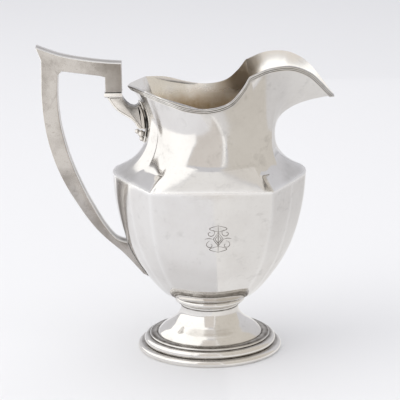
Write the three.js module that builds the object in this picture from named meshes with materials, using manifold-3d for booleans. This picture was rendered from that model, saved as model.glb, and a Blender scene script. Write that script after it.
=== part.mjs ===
// Panelled oval water pitcher in silver: a raised body in two halves of height, a spun oval foot,
// a hollow loop handle in two stamped halves, a cast scroll bracket and an applied reeded rim.
// Millimetres, +Z up, spout towards +X, handle towards -X. The foot stands on z = 0. Every piece
// is laid out about the body's own axis, and the whole is then shifted along X to its middle.
import * as THREE from 'three';
import Module from 'manifold-3d';
import { mergeVertices } from 'three/addons/utils/BufferGeometryUtils.js';

const wasm = await Module();
wasm.setup();

const GAP = 0.3;                // room left between soldered pieces
const FACET_EASE = 0.15;        // more room where a flat-sided piece lies along a faceted one
const WALL = 1.2;               // body sheet
const OVAL = 0.78;              // width over length of every oval foot piece

// Bowl
const SHOULDER_Z = 150;
const SHOULDER_HALF = 76;       // half length of the body at its shoulder edge
const BOWL_BOTTOM_Z = 45.6;
const PANELS_END_Z = 53;        // the panels have melted into a plain oval here
const BASE_OVAL = 0.774;        // width over length of that plain oval
const BOWL_ROWS = 14;
// Half length and height up the bowl, bottom to shoulder.
const BOWL_PROFILE = [
  [27.5, BOWL_BOTTOM_Z], [33.8, 47.8], [39.2, 51.2], [46.5, 59.5], [52.5, 68], [58.8, 78],
  [65.4, 92], [70.9, 110], [74.6, 130], [SHOULDER_HALF, SHOULDER_Z - GAP / 2],
];

// One quarter of the shoulder plan as fractions of the half length, from the middle of the broad
// side panel to the middle of the end panel. The corners divide it into four panels.
const PLAN_CORNERS = [[0, -0.776], [0.612, -0.757], [0.83, -0.418], [0.955, -0.165], [1, 0]];
const BASE_CORNER_X = [0, 0.62, 0.812, 0.97, 1];
// Where the columns of the mesh stand across each of the four panels.
const COLUMNS = [
  [0, 0.2, 0.4, 0.58, 0.74, 0.87, 0.95], [0, 0.33, 0.67], [0, 0.12, 0.35, 0.6, 0.8], [0, 0.25, 0.5, 0.75],
];

// Stations round the near side, from the middle of the handle end (0) over the corners of the
// plan to the middle of the near side (4) and on to the spout end (8): station, x, y, z.
const NECK = [
  [0, -48.7, 0, 187], [1, -46.5, -10.5, 187], [2, -40, -22, 186.8], [3, -31, -31, 185], [4, 2, -37.5, 181],
  [5, 36, -30.5, 181], [6, 47.6, -20, 181.5], [7, 50.4, -9.5, 181.5], [8, 51, 0, 181.5],
];
const RIM = [
  [0, -62.5, 0, 219.4], [1, -57, -12, 220], [2, -50, -24.5, 220], [3, -34, -37.5, 216.5],
  [3.5, -18, -41.5, 211.8], [4, -2, -40.5, 210], [4.5, 14, -37.2, 213.8], [4.8, 24, -32.7, 223.3],
  [5, 29.8, -29.5, 232], [5.5, 45, -29, 238.2], [6, 62, -26, 238.9], [6.5, 76, -21.5, 232.8],
  [7, 86, -12.8, 222.6], [7.5, 92.5, -5.4, 214.6], [8, 97, 0, 209.6],
];
const NECK_CREASES = [0, 2, 6, 8];
const RIM_CREASES = [0, 2, 5, 8];
const FLARE = [0.55, 0.45, 0.2, 0.35, 0.45, 0.4, 0.5, 0.75, 0.81];  // height share before the flare
const COVE_LIFT = 0.3;                // height of the hollow roof's knee as a share of the rise
const BROAD_LIFT = 0.46;              // the same over the broad side panels
const LIFT_FADE = 0.85;               // place across the broad panel where its lift begins to fade
const ROOF_END = 1 / 3;               // the small flat corner roofs reach this far up the cove
const ROOF_START = 0.87;              // place across the broad panel where a corner roof begins
const ROOF_FADE = 0.2;                // share of the next panel over which it ends
const COVE_ROWS = 9;
const NECK_ROWS = 8;

// Reeded rim strip: offsets outwards from the wall and down from the rim.
const REED = 1.3;
const REED_DEPTH = 1.3;
const REED_GROOVE = 0.8;
const REEDS = 3;

// Foot profiles: half length and height.
const FLANGE = [[50, 0], [57.4, 0], [58.3, 1], [58.3, 2.9], [57.2, 4.4], [55, 5.2], [50, 5.2]];
const TORUS = [[47.5, 5.5], [52.6, 5.5], [53.4, 7], [53, 9], [51.4, 10.6], [49.4, 11.1], [47.5, 11.1]];
const PEDESTAL = [
  [48.6, 11.4], [48.6, 12.2], [47.4, 13], [44, 13.4], [42.2, 13.2], [40.8, 15.2], [37.6, 18.4], [33, 21.6],
  [28.6, 25], [25.4, 28.8], [23.6, 32.6], [23.4, 36.9],
];
const PEDESTAL_WALL = 1.5;
const PEDESTAL_SKIRT = 4;       // width of the pedestal's seat on the ring below
const PEDESTAL_EASE = 0.01;     // keeps the inner line from running exactly plumb
const COLLAR = [
  [19, 37.2], [23.2, 37.2], [23.4, 39], [24.4, 39.5], [27.4, 40.6], [28.6, 42.4], [28, 44.4], [26.4, 45.3],
  [19, 45.3],
];
const SPIN_STEPS = 64;

// Handle, in the x-z plane.
const HANDLE_HALF_WIDTH = 6.4;
const HANDLE_WALL = 1.3;
const HANDLE_ROUND = 1.2;
const HANDLE_TAPER = 0.12;      // how much narrower the foot of the handle is than its top
const LEG_END_Z = 215;
const TAIL_TOP_Z = 92;
const TAIL_END_Z = 63;
const TAIL_STEPS = 5;
const TAIL_SOLID = 12;          // the thin tail is solid over this height
const HANDLE_TOP = [[-132.5, 250.6], [-124.5, 247.4], [-114.5, 244], [-104, 241.7], [-90.5, 239.6], [-77, 238.2],
  [-67.4, 237.7]];
const HANDLE_UNDER = [[-80.3, 226.9], [-84, 227.9], [-98, 229.8], [-113, 231.8], [-115.9, 228.8]];
const HANDLE_INNER = [[-115.9, 228.8], [-116.7, 214.5], [-116.3, 200.5], [-114.6, 186], [-109, 163], [-101, 141.5],
  [-91.6, 122], [-81.5, 104.2], [-74, 95.2], [-67, TAIL_TOP_Z]];
const HANDLE_OUTER = [[-51.6, TAIL_END_Z], [-60, 73.2], [-70.2, 84.6], [-82, 95.3], [-93.5, 108.2],
  [-104.5, 125], [-114.3, 143.2], [-121.7, 162], [-126.5, 182.3], [-128.7, 200.7], [-129.3, 214.6],
  [-128.9, 228.4], [-128.6, 240.5]];

const BAND = { x0: -80.9, x1: -67.2, z0: 211.2, z1: 214.7, halfWidth: 7.1, bevel: 0.9 };
const BRACKET_HALF_WIDTH = 4.6;
const BRACKET_ROUND = 1;
const BRACKET_UNDER = [[-79.2, 210.9], [-77.8, 208.6], [-74.6, 203.6], [-71.1, 199.6], [-66.1, 196.2], [-61.2, 193],
  [-57.8, 189.6], [-56.4, 186.4], [-54.6, 184.9]];
const BRACKET_THROAT = [[-54.9, 204.6], [-57.4, 202.8], [-60.3, 203.1], [-63.6, 205.3], [-66.4, 208.8],
  [-67.6, 210.9]];
const LEAF = { thickness: 1.5, halfWidth: 4.2, z0: 174, z1: 207, steps: 10 };
const BEADS = {
  scroll_knob: [-57.9, 0, 183.9, 1.4],
  bead_large: [-53.8, 0, 181.9, 2.4],
  bead_small: [-53.9, 0, 177.3, 1.6],
};

const materials = {
  body_silver: { color: 0xd9d7d2, roughness: 0.2, metalness: 1 },
  rim_silver: { color: 0xd0cec9, roughness: 0.22, metalness: 1 },
  foot_silver: { color: 0xd6d3cd, roughness: 0.22, metalness: 1 },
  handle_silver: { color: 0xcfccc7, roughness: 0.24, metalness: 1 },
  cast_silver: { color: 0xc4c1bb, roughness: 0.28, metalness: 1 },
};

const group = new THREE.Group();
group.name = 'water_pitcher';

function addMesh(name, geometry, material) {
  const mesh = new THREE.Mesh(geometry, new THREE.MeshStandardMaterial(materials[material]));
  mesh.name = name;
  group.add(mesh);
}

const mix = (a, b, t) => a + (b - a) * t;
const clamp01 = (t) => Math.min(1, Math.max(0, t));
const vec = (p) => new THREE.Vector3(...p);

// One closed body from a stack of closed rings. The first and last ring are either capped at
// their centre or joined to each other.
function stackRings(rings, capped) {
  const count = rings[0].length;
  const positions = rings.flat().flatMap((p) => [p.x, p.y, p.z]);
  const index = [];
  const last = capped ? rings.length - 1 : rings.length;
  for (let i = 0; i < last; i++) {
    const next = (i + 1) % rings.length;
    for (let k = 0; k < count; k++) {
      const a = i * count + k;
      const b = i * count + (k + 1) % count;
      const c = next * count + (k + 1) % count;
      const d = next * count + k;
      index.push(a, b, c, a, c, d);
    }
  }
  if (capped) {
    const ends = [[0, true], [rings.length - 1, false]];
    for (const [row, flip] of ends) {
      const centre = positions.length / 3;
      const sum = rings[row].reduce((s, p) => s.add(p), new THREE.Vector3());
      positions.push(...sum.divideScalar(count).toArray());
      for (let k = 0; k < count; k++) {
        const a = row * count + k;
        const b = row * count + (k + 1) % count;
        index.push(...(flip ? [b, a, centre] : [a, b, centre]));
      }
    }
  }
  const geometry = new THREE.BufferGeometry();
  geometry.setAttribute('position', new THREE.Float32BufferAttribute(positions, 3));
  geometry.setIndex(index);
  geometry.computeVertexNormals();
  return geometry;
}

// A point of one quarter of the body plan, for a panel, the place across it and the amount of
// melting into the plain oval.
function planPoint(panel, s, melt) {
  const [a, b] = [PLAN_CORNERS[panel], PLAN_CORNERS[panel + 1]];
  let x = mix(a[0], b[0], s);
  let y = mix(a[1], b[1], s);
  if (panel === 0) {
    y = mix(a[1], b[1], s * s);
  }
  if (panel === 3) {
    x = 1 - (1 - a[0]) * (1 - s) ** 2;
  }
  const angle = mix(Math.acos(BASE_CORNER_X[panel]), Math.acos(BASE_CORNER_X[panel + 1]), s);
  return [mix(x, Math.cos(angle), melt), mix(y, -BASE_OVAL * Math.sin(angle), melt)];
}

// The columns of a quarter turn: panel number and place across the panel.
const quarter = COLUMNS.flatMap((places, panel) => places.map((s) => [panel, s]));
const QUARTER = quarter.length;
const AROUND = 4 * QUARTER;

// The four quarters share the same columns, running anticlockwise from the near side's middle.
function column(k) {
  const turn = Math.floor(k / QUARTER) % 4;
  const i = k % QUARTER;
  const back = turn % 2 === 1;
  const [panel, s] = back ? (i === 0 ? [3, 1] : quarter[QUARTER - i]) : quarter[i];
  const sx = turn < 2 ? 1 : -1;
  const sy = turn === 0 || turn === 3 ? 1 : -1;
  return { panel, s, sx, sy };
}

function planRing(halfX, halfY, z, melt) {
  return Array.from({ length: AROUND }, (_, k) => {
    const { panel, s, sx, sy } = column(k);
    const [x, y] = planPoint(panel, s, melt);
    return new THREE.Vector3(sx * x * halfX, sy * y * halfY, z);
  });
}

// Half length and scale in width of the plan when its wall is drawn in by a distance.
const insetHalves = (half, distance) => [half - distance, half + distance / PLAN_CORNERS[0][1]];

function bowlProfile() {
  const points = BOWL_PROFILE.map(([u, z]) => new THREE.Vector2(u, z));
  return new THREE.SplineCurve(points);
}

function lowerBody() {
  const curve = bowlProfile();
  const outer = [];
  const inner = [];
  for (let i = 0; i <= BOWL_ROWS; i++) {
    const p = curve.getPoint(i / BOWL_ROWS);
    const t = curve.getTangent(i / BOWL_ROWS);
    const melt = clamp01((SHOULDER_Z - p.y) / (SHOULDER_Z - PANELS_END_Z));
    outer.push(planRing(p.x, p.x, p.y, melt));
    const top = SHOULDER_Z - GAP / 2;
    const z = i === 0 ? BOWL_BOTTOM_Z + WALL : Math.min(top, p.y + WALL * t.x);
    const [halfX, halfY] = insetHalves(p.x, WALL * t.y);
    inner.push(planRing(halfX, halfY, i === BOWL_ROWS ? top : z, melt));
  }
  return stackRings([...outer, ...inner.reverse()], true);
}

// Stations along the near side turned into one ring of points, mirrored for the far side. The
// ring is smooth between its creases.
function stationRing(stations, creases) {
  const mirror = ([at, x, y, z]) => [at, x, -y, z];
  const spans = creases.slice(1).map((end, i) => {
    const start = creases[i];
    const list = stations.filter(([at]) => at >= start && at <= end);
    const head = start === 0 ? list.slice(1).reverse().map(mirror) : [];
    const tail = end === 8 ? list.slice(0, -1).reverse().map(mirror) : [];
    const points = [...head, ...list, ...tail].map((p) => vec(p.slice(1)));
    return { list, head: head.length, end, curve: new THREE.CatmullRomCurve3(points), count: points.length - 1 };
  });
  return Array.from({ length: AROUND }, (_, k) => {
    const { panel, s, sx, sy } = column(k);
    const station = 4 + sx * (panel + s);
    const { list, head, curve, count } = spans.find((c) => station <= c.end + 1e-6);
    const i = Math.max(0, Math.min(list.length - 2, list.findIndex(([at]) => at > station + 1e-6) - 1));
    const next = station >= list[list.length - 1][0] - 1e-6 ? list.length - 2 : i;
    const share = (station - list[next][0]) / (list[next + 1][0] - list[next][0]);
    const p = curve.getPoint((head + next + share) / count);
    return new THREE.Vector3(p.x, sy * p.y, p.z);
  });
}

const stationValue = (values, station) => {
  const i = Math.min(values.length - 2, Math.floor(station));
  return mix(values[i], values[i + 1], station - i);
};

// How much a column belongs to a small corner roof, which stays flat, rather than to a hollow one.
function ridgeShare({ panel, s }) {
  if (panel === 1) {
    return 1;
  }
  if (panel === 0) {
    return clamp01((s - ROOF_START) / (1 - ROOF_START));
  }
  return panel === 2 ? clamp01(1 - s / ROOF_FADE) : 0;
}

const shoulderRing = planRing(SHOULDER_HALF, SHOULDER_HALF, SHOULDER_Z + GAP / 2, 0);
const neckRing = stationRing(NECK, NECK_CREASES);
const rimRing = stationRing(RIM, RIM_CREASES);

// One column of the upper body, from the shoulder edge over the roof and up the neck.
function upperColumn(k) {
  const [shoulder, neck, rim] = [shoulderRing[k], neckRing[k], rimRing[k]];
  const info = column(k);
  const fade = clamp01((info.s - LIFT_FADE) / (1 - LIFT_FADE));
  const lift = info.panel === 0 ? mix(BROAD_LIFT, COVE_LIFT, fade) : COVE_LIFT;
  const knee = neck.clone();
  knee.z = mix(shoulder.z, neck.z, lift);
  const cove = new THREE.QuadraticBezierCurve3(shoulder, knee, neck);
  const roofEnd = cove.getPoint(ROOF_END);
  const points = cove.getPoints(COVE_ROWS).map((p, row) => {
    const flat = shoulder.clone().lerp(roofEnd, row / COVE_ROWS / ROOF_END);
    return row < COVE_ROWS * ROOF_END ? p.lerp(flat, ridgeShare(info)) : p;
  });
  const flare = neck.clone();
  flare.z = mix(neck.z, rim.z, stationValue(FLARE, 4 + info.sx * (info.panel + info.s)));
  const upper = new THREE.QuadraticBezierCurve3(neck, flare, rim);
  return [...points, ...upper.getPoints(NECK_ROWS).slice(1)];
}

const upperColumns = Array.from({ length: AROUND }, (_, k) => upperColumn(k));

// Outward normal of the upper body at a row and column, from its neighbours.
function upperNormal(row, k) {
  const up = upperColumns[k][Math.min(row + 1, COVE_ROWS + NECK_ROWS)].clone()
    .sub(upperColumns[k][Math.max(row - 1, 0)]);
  const next = upperColumns[(k + 1) % AROUND][row].clone().sub(upperColumns[(k + AROUND - 1) % AROUND][row]);
  return next.cross(up).normalize();
}

function upperBody() {
  const floor = SHOULDER_Z + GAP / 2;
  const outer = [];
  const inner = [];
  for (let row = 0; row <= COVE_ROWS + NECK_ROWS; row++) {
    outer.push(upperColumns.map((points) => points[row]));
    inner.push(upperColumns.map((points, k) => {
      const p = points[row].clone().addScaledVector(upperNormal(row, k), -WALL);
      p.z = Math.max(p.z, floor);
      return p;
    }));
  }
  inner[0] = planRing(...insetHalves(SHOULDER_HALF, WALL), floor, 0);
  return stackRings([...outer, ...inner.reverse()], false);
}

// Half of the reeded strip along the rim, on the near side (side = 1) or the far side (-1).
function rimMoulding(side) {
  const row = COVE_ROWS + NECK_ROWS;
  const steps = 2 * QUARTER;
  const rings = [];
  for (let i = 0; i <= steps; i++) {
    const k = (3 * QUARTER + side * i + AROUND) % AROUND;
    const n = upperNormal(row, k);
    const down = upperColumns[k][row - 1].clone().sub(upperColumns[k][row]).normalize();
    const at = (out, drop) => {
      const p = rimRing[k].clone().addScaledVector(n, out).addScaledVector(down, drop);
      p.y = side * Math.min(side * p.y, -GAP / 2);
      return p;
    };
    const ring = [at(GAP, 0)];
    for (let j = 0; j < REEDS; j++) {
      ring.push(at(GAP + REED_GROOVE, j * REED + 0.1), at(GAP + REED_DEPTH, (j + 0.5) * REED));
    }
    ring.push(at(GAP + REED_GROOVE, REEDS * REED), at(GAP, REEDS * REED));
    rings.push(side > 0 ? ring : ring.reverse());
  }
  return stackRings(rings, true);
}

// A closed profile of half length and height, spun and pressed to the foot's oval.
function ovalSpin(profile) {
  const points = profile.map(([r, z]) => new THREE.Vector2(r, z));
  points.push(points[0].clone());
  const geometry = new THREE.LatheGeometry(points, SPIN_STEPS);
  geometry.rotateX(Math.PI / 2);
  geometry.scale(1, OVAL, 1);
  return toSolid(geometry);
}

function shellProfile(outer, wall) {
  const curve = outer.map(([r, z]) => new THREE.Vector2(r, z));
  const inner = curve.map((p, i) => {
    const a = curve[Math.max(i - 1, 0)];
    const b = curve[Math.min(i + 1, curve.length - 1)];
    const t = b.clone().sub(a).normalize();
    return [p.x - wall * Math.abs(t.y) - PEDESTAL_EASE, p.y - wall * Math.abs(t.x)];
  });
  inner[inner.length - 1][1] = outer[outer.length - 1][1];
  const seat = outer[0][0] - PEDESTAL_SKIRT;
  const skirt = inner.filter(([r]) => r < seat);
  return [...outer, ...skirt.reverse(), [seat, outer[0][1]]];
}

// Position-only, welded geometry as a manifold solid, turned right side out.
function manifoldOf(geometry) {
  const bare = new THREE.BufferGeometry();
  bare.setAttribute('position', geometry.getAttribute('position').clone());
  if (geometry.index) {
    bare.setIndex(geometry.index.clone());
  }
  const welded = mergeVertices(bare, 1e-4);
  const tri = Uint32Array.from(welded.index.array);
  const pos = welded.getAttribute('position').array;
  let volume = 0;
  for (let i = 0; i < tri.length; i += 3) {
    const [a, b, c] = [0, 1, 2].map((j) => vec(pos.subarray(tri[i + j] * 3, tri[i + j] * 3 + 3)));
    volume += a.dot(b.cross(c));
  }
  if (volume < 0) {
    for (let i = 0; i < tri.length; i += 3) {
      [tri[i], tri[i + 1]] = [tri[i + 1], tri[i]];
    }
  }
  const mesh = new wasm.Mesh({ numProp: 3, vertProperties: Float32Array.from(pos), triVerts: tri });
  return new wasm.Manifold(mesh);
}

function geometryOf(solid) {
  const mesh = solid.getMesh();
  const geometry = new THREE.BufferGeometry();
  geometry.setAttribute('position', new THREE.Float32BufferAttribute(mesh.vertProperties, 3));
  geometry.setIndex(new THREE.Uint32BufferAttribute(mesh.triVerts, 1));
  geometry.computeVertexNormals();
  return geometry;
}

const toSolid = (geometry) => geometryOf(manifoldOf(geometry));

// An outline in the x-z plane given thickness in y, centred on y = 0, with its long edges
// rounded over in two facets.
function slab(outline, halfWidth, round) {
  const levels = [[-halfWidth, 0]];
  if (round > 0) {
    const soft = round * (1 - Math.SQRT1_2);
    levels[0][1] = round;
    levels.push([-halfWidth + soft, soft], [-halfWidth + round, 0]);
  }
  const mirrored = levels.map(([y, inset]) => [-y, inset]).reverse();
  const rings = [...levels, ...mirrored].map(([y, inset]) => insetOutline(outline, inset)
    .map(([x, z]) => new THREE.Vector3(x, y, z)));
  const count = outline.length;
  const index = [];
  for (let i = 0; i < rings.length - 1; i++) {
    for (let k = 0; k < count; k++) {
      const a = i * count + k;
      const b = i * count + (k + 1) % count;
      index.push(a, b, b + count, a, b + count, a + count);
    }
  }
  const face = THREE.ShapeUtils.triangulateShape(outline.map((p) => new THREE.Vector2(...p)), []);
  const forward = Math.sign(THREE.ShapeUtils.area(outline.map((p) => new THREE.Vector2(...p)))) > 0;
  const far = (rings.length - 1) * count;
  for (const [a, b, c] of face) {
    index.push(...(forward ? [c, b, a] : [a, b, c]), ...(forward ? [a, b, c] : [c, b, a]).map((v) => v + far));
  }
  const geometry = new THREE.BufferGeometry();
  geometry.setAttribute('position', new THREE.Float32BufferAttribute(rings.flat().flatMap((p) => p.toArray()), 3));
  geometry.setIndex(index);
  return geometry;
}

const smooth = (points, steps) => new THREE.SplineCurve(points.map((p) => new THREE.Vector2(...p)))
  .getPoints(steps).map((p) => [p.x, p.y]);

// Distance of the bowl's end panel from the axis at a height.
function bowlReach(z) {
  const points = bowlProfile().getPoints(200);
  const i = points.findIndex((p) => p.y >= z);
  return points[i < 0 ? points.length - 1 : i].x;
}

function insetOutline(outline, distance) {
  const points = outline.map((p) => new THREE.Vector2(...p));
  const turn = Math.sign(THREE.ShapeUtils.area(points));
  return points.map((p, i) => {
    const before = p.clone().sub(points[(i + points.length - 1) % points.length]).normalize();
    const after = points[(i + 1) % points.length].clone().sub(p).normalize();
    const n1 = new THREE.Vector2(-before.y, before.x);
    const n2 = new THREE.Vector2(-after.y, after.x);
    const n = n1.add(n2).multiplyScalar(0.5);
    const length = Math.max(n.lengthSq(), 0.12);
    return [p.x + turn * distance * n.x / length, p.y + turn * distance * n.y / length];
  });
}

function handleOutline(tailEnd) {
  const tail = [];
  for (let i = 0; i <= TAIL_STEPS; i++) {
    const z = mix(TAIL_TOP_Z, tailEnd, i / TAIL_STEPS);
    tail.push([-bowlReach(z) - GAP - FACET_EASE, z]);
  }
  return [
    ...smooth(HANDLE_TOP, 10),
    [HANDLE_TOP[HANDLE_TOP.length - 1][0], LEG_END_Z],
    [HANDLE_UNDER[0][0], LEG_END_Z],
    ...HANDLE_UNDER.slice(0, -1),
    ...smooth(HANDLE_INNER, 16).slice(0, -1),
    ...tail,
    ...smooth(HANDLE_OUTER, 20).filter((p) => p[1] >= tailEnd),
  ];
}

function taperHandle(geometry) {
  const pos = geometry.getAttribute('position');
  for (let i = 0; i < pos.count; i++) {
    const t = clamp01((LEG_END_Z - pos.getZ(i)) / (LEG_END_Z - TAIL_TOP_Z));
    pos.setY(i, pos.getY(i) * (1 - HANDLE_TAPER * t * t * (3 - 2 * t)));
  }
  geometry.computeVertexNormals();
  return geometry;
}

// One stamped half of the hollow handle: a tray open along the middle seam.
function handleHalf(side) {
  const outside = manifoldOf(slab(handleOutline(TAIL_END_Z), HANDLE_HALF_WIDTH, HANDLE_ROUND));
  const hollow = insetOutline(handleOutline(TAIL_END_Z + TAIL_SOLID), HANDLE_WALL);
  const pocket = manifoldOf(slab(hollow, HANDLE_HALF_WIDTH - HANDLE_WALL, 0));
  const cutter = new THREE.BoxGeometry(300, 40, 400);
  cutter.translate(-100, side * (20 - GAP / 2), 150);
  return taperHandle(geometryOf(outside.subtract(pocket).subtract(manifoldOf(cutter))));
}

// Place of the neck's handle end in x at a height.
function neckReach(z) {
  const points = upperColumns[3 * QUARTER];
  const i = points.findIndex((p) => p.z >= z);
  const [a, b] = [points[i - 1], points[i]];
  return mix(a.x, b.x, (z - a.z) / (b.z - a.z));
}

function leafEdge(offset) {
  return Array.from({ length: LEAF.steps + 1 }, (_, i) => {
    const z = mix(LEAF.z0, LEAF.z1, i / LEAF.steps);
    return [neckReach(z) - offset, z];
  });
}

function bracketOutline() {
  const foot = BRACKET_UNDER[BRACKET_UNDER.length - 1][1];
  const offset = LEAF.thickness + 2 * GAP + FACET_EASE;
  const wallSide = leafEdge(offset).filter((p) => p[1] > foot + BRACKET_ROUND / 2 && p[1] < BRACKET_THROAT[0][1]);
  return [...smooth(BRACKET_UNDER, 14), [wallSide[0][0], foot], ...wallSide, ...smooth(BRACKET_THROAT, 8)];
}

function bead([x, y, z, r]) {
  const geometry = new THREE.SphereGeometry(r, 20, 12);
  geometry.translate(x, y, z);
  return toSolid(geometry);
}

addMesh('lower_body', lowerBody(), 'body_silver');
addMesh('upper_body', upperBody(), 'body_silver');
addMesh('rim_moulding_near', rimMoulding(1), 'rim_silver');
addMesh('rim_moulding_far', rimMoulding(-1), 'rim_silver');
addMesh('body_collar', ovalSpin(COLLAR), 'foot_silver');
addMesh('foot_pedestal', ovalSpin(shellProfile(PEDESTAL, PEDESTAL_WALL)), 'foot_silver');
addMesh('foot_moulding', ovalSpin(TORUS), 'foot_silver');
addMesh('foot_flange', ovalSpin(FLANGE), 'foot_silver');
addMesh('handle_shell_near', handleHalf(1), 'handle_silver');
addMesh('handle_shell_far', handleHalf(-1), 'handle_silver');

const bandOutline = [[BAND.x0, BAND.z0], [BAND.x1, BAND.z0], [BAND.x1, BAND.z1], [BAND.x0, BAND.z1]];
addMesh('handle_band', toSolid(slab(bandOutline, BAND.halfWidth, BAND.bevel)), 'cast_silver');
addMesh('upper_bracket', toSolid(slab(bracketOutline(), BRACKET_HALF_WIDTH, BRACKET_ROUND)), 'cast_silver');
const leafBack = GAP + FACET_EASE;
const leaf = [...leafEdge(leafBack), ...leafEdge(leafBack + LEAF.thickness).reverse()];
addMesh('bracket_leaf', toSolid(slab(leaf, LEAF.halfWidth, 0)), 'cast_silver');
for (const [name, place] of Object.entries(BEADS)) {
  addMesh(name, bead(place), 'cast_silver');
}

// The frame's origin is the middle of the whole object's footprint box, not the body's axis.
const box = new THREE.Box3().setFromObject(group);
group.position.x = -(box.min.x + box.max.x) / 2;
group.updateMatrixWorld(true);

export default group;
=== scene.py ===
"""Panelled oval water pitcher in polished silver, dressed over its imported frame."""

import math

import bmesh
import bpy
from mathutils import Matrix, Vector

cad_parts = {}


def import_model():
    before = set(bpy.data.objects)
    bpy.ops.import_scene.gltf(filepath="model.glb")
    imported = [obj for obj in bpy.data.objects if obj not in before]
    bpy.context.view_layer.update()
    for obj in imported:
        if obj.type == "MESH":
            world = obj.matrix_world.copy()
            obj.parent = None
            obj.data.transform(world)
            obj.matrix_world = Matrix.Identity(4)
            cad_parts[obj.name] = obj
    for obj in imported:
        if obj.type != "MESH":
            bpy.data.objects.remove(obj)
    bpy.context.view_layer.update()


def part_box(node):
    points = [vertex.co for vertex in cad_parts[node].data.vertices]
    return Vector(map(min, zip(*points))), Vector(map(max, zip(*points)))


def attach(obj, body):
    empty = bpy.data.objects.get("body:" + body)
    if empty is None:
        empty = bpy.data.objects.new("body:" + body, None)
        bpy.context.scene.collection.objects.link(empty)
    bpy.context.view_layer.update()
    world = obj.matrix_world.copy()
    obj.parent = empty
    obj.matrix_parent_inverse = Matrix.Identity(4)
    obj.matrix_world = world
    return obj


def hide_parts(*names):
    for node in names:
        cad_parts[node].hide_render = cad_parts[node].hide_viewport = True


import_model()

MM = 0.001
FLANGE_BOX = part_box("foot_flange")
AXIS_X = (FLANGE_BOX[0].x + FLANGE_BOX[1].x) / 2 / MM   # the body's own axis, in millimetres
HAIR = 0.03             # a hair of room that keeps pieces off each other

# ---------------------------------------------------------------- driving sizes, millimetres
WALL = 1.1
OVAL = 0.78
SHOULDER_Z = 150
SHOULDER_HALF = 76
BOWL_BOTTOM_Z = 45.6
PANELS_END_Z = 53
BASE_OVAL = 0.774
BOWL_PROFILE = [
    (27.5, BOWL_BOTTOM_Z), (33.8, 47.8), (39.2, 51.2), (46.5, 59.5), (52.5, 68), (58.8, 78),
    (65.4, 92), (70.9, 110), (74.6, 130), (SHOULDER_HALF, SHOULDER_Z),
]
PLAN_CORNERS = [(0, -0.776), (0.612, -0.757), (0.83, -0.418), (0.972, -0.168), (1, 0)]
BASE_CORNER_X = [0, 0.62, 0.812, 0.975, 1]

# Stations run from the middle of the handle end (0) over the corners of the plan to the middle
# of the near side (4) and on to the middle of the spout end (8).
NECK = {
    0: (-48.7, 0, 187), 1: (-46.5, -10.5, 187), 2: (-40, -22, 186.8), 3: (-31, -31, 185),
    4: (2, -37.5, 181), 5: (36, -30.5, 181), 6: (47.6, -20, 181.5), 7: (50.4, -9.5, 181.5),
    8: (51, 0, 181.5),
}
RIM = {
    0: (-62.5, 0, 219.4), 1: (-57, -12, 220), 2: (-50, -24.5, 220), 3: (-34, -37.5, 216.5),
    3.5: (-18, -41.5, 211.8), 4: (-2, -40.5, 210), 4.5: (14, -37.2, 213.8), 4.8: (24, -32.7, 223.3),
    5: (29.8, -29.5, 232), 5.5: (45, -29, 238.2), 6: (62, -26, 238.9), 6.5: (76, -21.5, 232.8),
    7: (86, -12.8, 222.6), 7.5: (92.5, -5.4, 214.6), 8: (97, 0, 209.6),
}
NECK_CREASES = [0, 2, 6, 8]
RIM_CREASES = [0, 2, 5, 8]
FLARE = [0.55, 0.45, 0.2, 0.35, 0.45, 0.4, 0.5, 0.75, 0.81]
COVE_LIFT = (0.3, 0.46)             # height of the roof's knee at the corners and over the broad side
LIFT_END = 0.85                     # share of the broad panel where the higher knee starts to come down
ROOF_START = 0.91                   # share of the broad panel where the flat corner roof begins
ROOF_FADE = 0.14                    # share of the end panel where it runs out
ROOF_END = 1 / 3

PANEL_STEPS = [22, 12, 14, 11]      # columns across each panel of a quarter of the body
BOWL_ROWS = 56
COVE_ROWS = 36
NECK_ROWS = 44
SOFT_RIDGE = 4                      # passes of softening along the ridges and the shoulder
SOFT_START = 4                      # first row of the bowl that is softened

REED = 1.3
REED_DEPTH = 1.3
REED_GROOVE = 0.2
REEDS = 3
REED_POINTS = 7

SPIN_STEPS = 128
FLANGE = [(50, 0), (57.4, 0), (58.2, 1), (58.2, 2.9), (57.2, 4.4), (55, 5.2), (50, 5.3)]
TORUS = [(47.5, 5.4), (52.4, 5.5), (53.35, 7), (53, 9), (51.4, 10.6), (49.4, 11.1), (47.5, 11.2)]
PEDESTAL_STEP = [(48.6, 11.3), (48.6, 12.2), (47.4, 13), (44, 13.4), (42.4, 13.1)]
PEDESTAL_DOME = [
    (42.4, 13.1), (41.6, 14.4), (40.6, 15.6), (37.6, 18.4), (33, 21.6), (28.6, 25), (25.4, 28.8),
    (23.6, 32.6), (23.3, 37.1),
]
PEDESTAL_WALL = 1.5
PEDESTAL_SKIRT = 4                  # width of the flat it stands on
COLLAR_LOW = [(19, 37.1), (23.2, 37.2), (23.5, 38), (23.4, 39), (24.4, 39.5)]
COLLAR_BEAD = [(24.4, 39.5), (27.2, 40.6), (28.5, 42.4), (28, 44.4), (26.4, 45.4), (19, 45.5)]

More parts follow.
